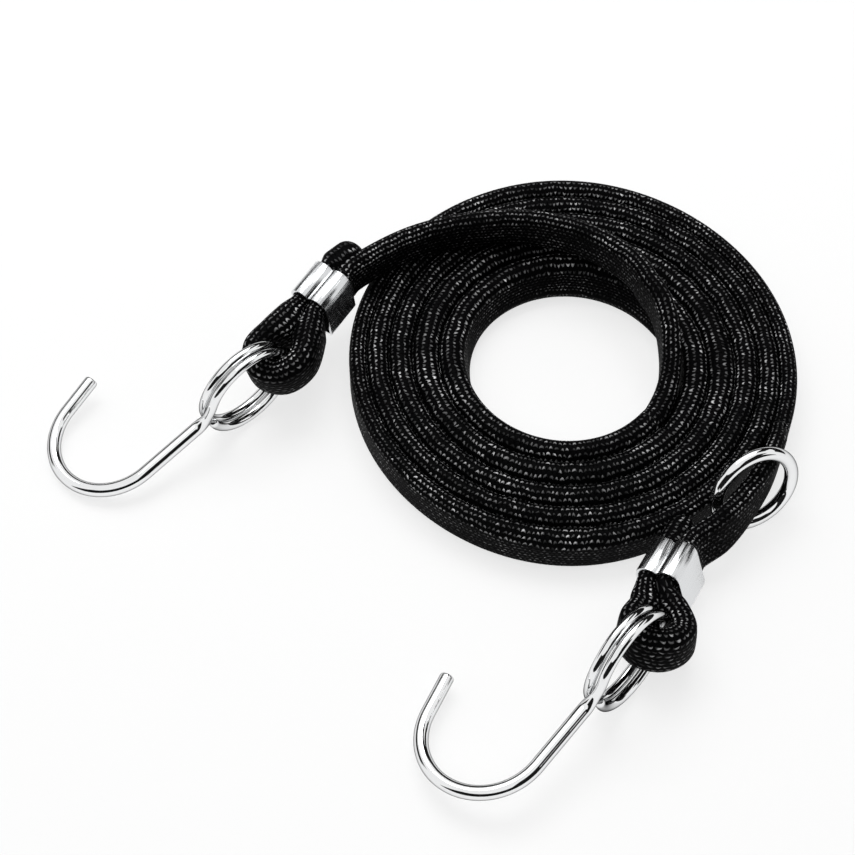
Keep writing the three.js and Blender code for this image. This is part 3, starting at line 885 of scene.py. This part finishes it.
def loop_points(end_place, hook_place, eye_angle, tail, tail_turn):
    front = SLEEVE_LENGTH / 2
    room = STRAND_OFFSET + EYE_WIRE / 2 + LOOP_CLEARANCE + CORD_HALF
    wide = room + LOOP_SIDE_ROOM
    bow = room + EYE_RADIUS - math.sqrt(EYE_RADIUS ** 2 - (CORD_WIDTH / 2) ** 2)
    shoulder_wide = wide * LOOP_SHOULDER[0]
    shoulder_bow = bow * LOOP_SHOULDER[1]

    def in_end(x, y, z=0.0):
        return end_place @ Vector((x, y, z))

    def in_loop(across, inward):
        return hook_place @ on_eye(eye_angle, EYE_RADIUS - inward, across)

    return [
        in_end(-front - tail, -LEG_OFFSET + tail_turn, TAIL_LIFT),
        in_end(-front - tail / 2, -LEG_OFFSET + tail_turn * TAIL_MIDDLE_TURN, TAIL_MIDDLE_LIFT),
        in_end(-front, -LEG_OFFSET),
        in_end(front / 2, -LEG_OFFSET),
        in_end(front, -LEG_OFFSET),
        in_end(front + LEG_STUB, -LEG_OFFSET),
        in_loop(-wide, -LOOP_RUN),
        in_loop(-shoulder_wide, shoulder_bow),
        in_loop(0, bow),
        in_loop(shoulder_wide, shoulder_bow),
        in_loop(wide, -LOOP_RUN),
        in_end(front + LEG_STUB, LEG_OFFSET),
        in_end(front, LEG_OFFSET),
        in_end(front / 2, LEG_OFFSET),
        in_end(-front - LEG_STUB, LEG_OFFSET),
    ]


def blend_up(first, second, share):
    return unit(np.array(first) * (1 - share[:, None]) + np.array(second) * share[:, None])


def inner_room(places, ups, end_place, hook_place, gone, marks):
    """How far the inside of the loop can swell before it meets the eye's strands or the other leg."""
    ways = unit(np.gradient(places, axis=0))
    inside = places + unit(np.cross(ups, ways)) * LEG_HALF
    unlean = Matrix.Rotation(EYE_LEAN, 4, "X") @ hook_place.inverted()
    in_eye = np.array([unlean @ Vector(place) for place in inside])
    in_end = np.array([end_place.inverted() @ Vector(place) for place in inside])
    radial = np.hypot(in_eye[:, 0], in_eye[:, 2])
    angle = np.degrees(np.arctan2(in_eye[:, 2], in_eye[:, 0])) % 360
    to_strands = np.full(len(places), np.inf)
    for further in STRAND_LOOKOUT:
        twist = strand_twist(angle + further)
        for sign in (-1, 1):
            strand_radius = EYE_RADIUS + sign * STRAND_OFFSET * np.sin(twist)
            strand_across = sign * STRAND_OFFSET * np.cos(twist)
            to_strand = np.hypot(radial - strand_radius, in_eye[:, 1] - strand_across)
            to_strands = np.minimum(to_strands, to_strand - EYE_WIRE / 2 - STRAND_ROOM)
    past = np.minimum(
        (gone - marks[LEAVING]) / (marks[BESIDE] - marks[LEAVING]),
        (marks[RETURNING] - gone) / (marks[RETURNING] - marks[BESIDE_BACK]),
    )
    eye_share = np.clip(past, 0, 1)
    to_middle = np.abs(in_end[:, 1]) * (1 - eye_share) + np.abs(in_eye[:, 1]) * eye_share + MIDDLE_ROOM
    to_middle = np.where(past > FREE_PAST, FREE_ROOM, to_middle)
    return np.clip(np.minimum(to_strands, to_middle), 0, SWELL_LIMIT)


for side, end_place in end_places.items():
    hook_place = hook_places[side]
    eye_angle = EYE_ANGLES[side]
    places, gone, marks = flowing_line(
        loop_points(end_place, hook_place, eye_angle, TAIL_LENGTHS[side], TAIL_TURNS[side])
    )
    end_up = end_place.to_3x3() @ Vector((0, 0, 1))
    loop_up = hook_place.to_3x3() @ on_eye(eye_angle - 90, 1, 0)
    loop_share = np.minimum(
        ease((gone - marks[LEAVING]) / (marks[SHOULDER] - marks[LEAVING])),
        ease((marks[RETURNING] - gone) / (marks[RETURNING] - marks[SHOULDER_BACK])),
    )
    ups = blend_up(end_up, loop_up, loop_share)
    swell = np.minimum(
        ease((gone - marks[LEAVING]) / LOOP_SWELL_RUN),
        ease((marks[RETURNING] - gone) / LOOP_SWELL_RUN),
    )
    half = LEG_HALF + TAIL_SWELLS[side] * ease((marks[SLEEVE_BACK] - gone) / TAIL_SWELL_RUN)
    loop = add_sheath(
        f"{side}_loop_cord",
        places,
        ups,
        half,
        loop_look,
        sealed=TAIL_SEAL,
        left_belly=inner_room(places, ups, end_place, hook_place, gone, marks) * swell,
        right_belly=LOOP_SWELL * swell,
    )
    rubber = add_rubber(f"{side}_loop_rubber", places, ups, half, TAIL_CORE_START)
    for piece, node in ((loop, "sheath"), (rubber, "core")):
        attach(piece, f"{side}_end")
        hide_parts(f"{side}_loop_{node}")

# Leads. From the inner end of the coil the cord climbs out of the hole and crosses the turns, on edge, to the
# left ferrule. From the outer end a short lead runs through the loose ring to the right ferrule.
FACE_GAP = 0.3
OVER_TOP = CORD_WIDTH * 1.5 + 0.5
CLIMB_START = -45
CLIMB_ANGLE = 80
CLIMB_STEPS = 12
CLIMB_FIRST = 2
CLIMB_DRAW = 1.8
CLIMB_DRAW_HASTE = 1.5
LEAD_RUN = CORD_WIDTH * 0.2
LEAD_HALVES = (3.1, 2.95)
LEAD_START_RUN = 25
TWIST_START = 0.15
ROLL_START = 0.55
ROLL_RISE = 0.25
ROLL_FALL = 0.2
LEFT_CROSSING = ((34, 46), (36, 62), (40.2, 85), (45.7, 106), (52, 124), (58.5, 137), (64.5, 147.5))
LEFT_HELD = LEFT_CROSSING[3]
RIGHT_ROUTE = ((107, -18, 11.4), (101.6, -29, 14), (94.6, -39.5, 14.2), (87, -47.9, 13.5))
RIGHT_ROLL = math.radians(3)


def on_coil(radius, degrees, z):
    angle = math.radians(degrees)
    return (
        COIL_CENTRE[0] + radius * math.cos(angle),
        COIL_CENTRE[1] + COIL_OVAL * radius * math.sin(angle),
        z,
    )


def climb_points():
    """Up the side of the hole: the lead rises smoothly from the table to the top of the turns."""
    points = []
    for step in range(CLIMB_FIRST, CLIMB_STEPS + 1):
        share = step / CLIMB_STEPS
        radius = COIL_INNER_RADIUS - CLIMB_DRAW * ease(share * CLIMB_DRAW_HASTE)
        height = CORD_WIDTH / 2 + (OVER_TOP - CORD_WIDTH / 2) * ease(share)
        points.append(on_coil(radius, CLIMB_START + CLIMB_ANGLE * share, height))
    return points


def lead_line(route, start_way, end_place, roll):
    way = end_place.to_3x3() @ Vector((1, 0, 0))
    meeting = end_place @ Vector((-SLEEVE_LENGTH / 2 - LEG_STUB - FACE_GAP, LEG_OFFSET, 0))
    start = Vector(route[0])
    places, gone, _ = flowing_line(
        [start, start + Vector(start_way) * LEAD_RUN, *route[1:], meeting - way * LEAD_RUN, meeting]
    )
    places[:, 2] = np.maximum(places[:, 2], CORD_WIDTH / 2)
    part = gone / gone[-1]
    end_up = end_place.to_3x3() @ Vector((0, 0, 1))
    ups = blend_up(UP, end_up, ease((part - TWIST_START) / (1 - TWIST_START)))
    left = unit(np.cross(ups, np.gradient(places, axis=0)))
    rolled = math.tan(roll) * ease((part - ROLL_START) / ROLL_RISE) * ease((1 - part) / ROLL_FALL)
    return places, unit(ups - left * rolled[:, None]), meeting


lead_plans = {
    "left": {
        "route": [
            coil_places[0] - coil_ways[0] * FACE_GAP,
            *climb_points(),
            *(on_coil(radius, degrees, OVER_TOP) for radius, degrees in LEFT_CROSSING),
        ],
        "start_way": -coil_ways[0],
        "held": on_coil(*LEFT_HELD, OVER_TOP),
        "start_half": coil_half[0],
        "start_offset": -coil_offset[0],
        "roll": 0,
    },
    "right": {
        "route": [coil_places[-1] + coil_ways[-1] * FACE_GAP, *RIGHT_ROUTE],
        "start_way": coil_ways[-1],
        "held": coil_places[-1],
        "start_half": coil_half[-1],
        "start_offset": coil_offset[-1],
        "roll": RIGHT_ROLL,
    },
}
for side, plan in lead_plans.items():
    places, ups, meeting = lead_line(plan["route"], plan["start_way"], end_places[side], plan["roll"])
    start_share = 1 - ease(np.arange(len(places)) * STEP / LEAD_START_RUN)
    half = np.linspace(*LEAD_HALVES, len(places)) * (1 - start_share) + plan["start_half"] * start_share
    offset = plan["start_offset"] * start_share
    lead = add_sheath(f"{side}_lead_cord", places, ups, half, braid_look, offset=offset)
    rubber = add_rubber(f"{side}_lead_rubber", places, ups, half, offset=offset)
    for piece, node in ((lead, "sheath"), (rubber, "core")):
        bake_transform(piece)
        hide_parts(f"{side}_lead_{node}")


# Ring. A plain ring of chromed wire hangs loose on the right lead and leans against it.
# It is wide enough to slide a little way along the flat cord, between the coil and the ferrule.
RING_WIRE = 4.2
RING_DIAMETER = 26
RING_PLACE = (98.9, -32.8, 14.6)
RING_FACING = Vector((0.4, -0.88, 0.27))
bpy.ops.object.select_all(action="DESELECT")
bpy.ops.mesh.primitive_torus_add(
    major_radius=RING_DIAMETER / 2000,
    minor_radius=RING_WIRE / 2000,
    major_segments=96,
    minor_segments=24,
)
ring = bpy.context.object
ring.name = "loose_ring"
facing = RING_FACING.to_track_quat("Z", "Y").to_matrix().to_4x4()
ring.data.transform(Matrix.Translation(in_frame(RING_PLACE)) @ facing)
bpy.ops.object.shade_smooth()
ring.data.materials.append(chrome)
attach(ring, "slide_ring")
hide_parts("slide_ring")
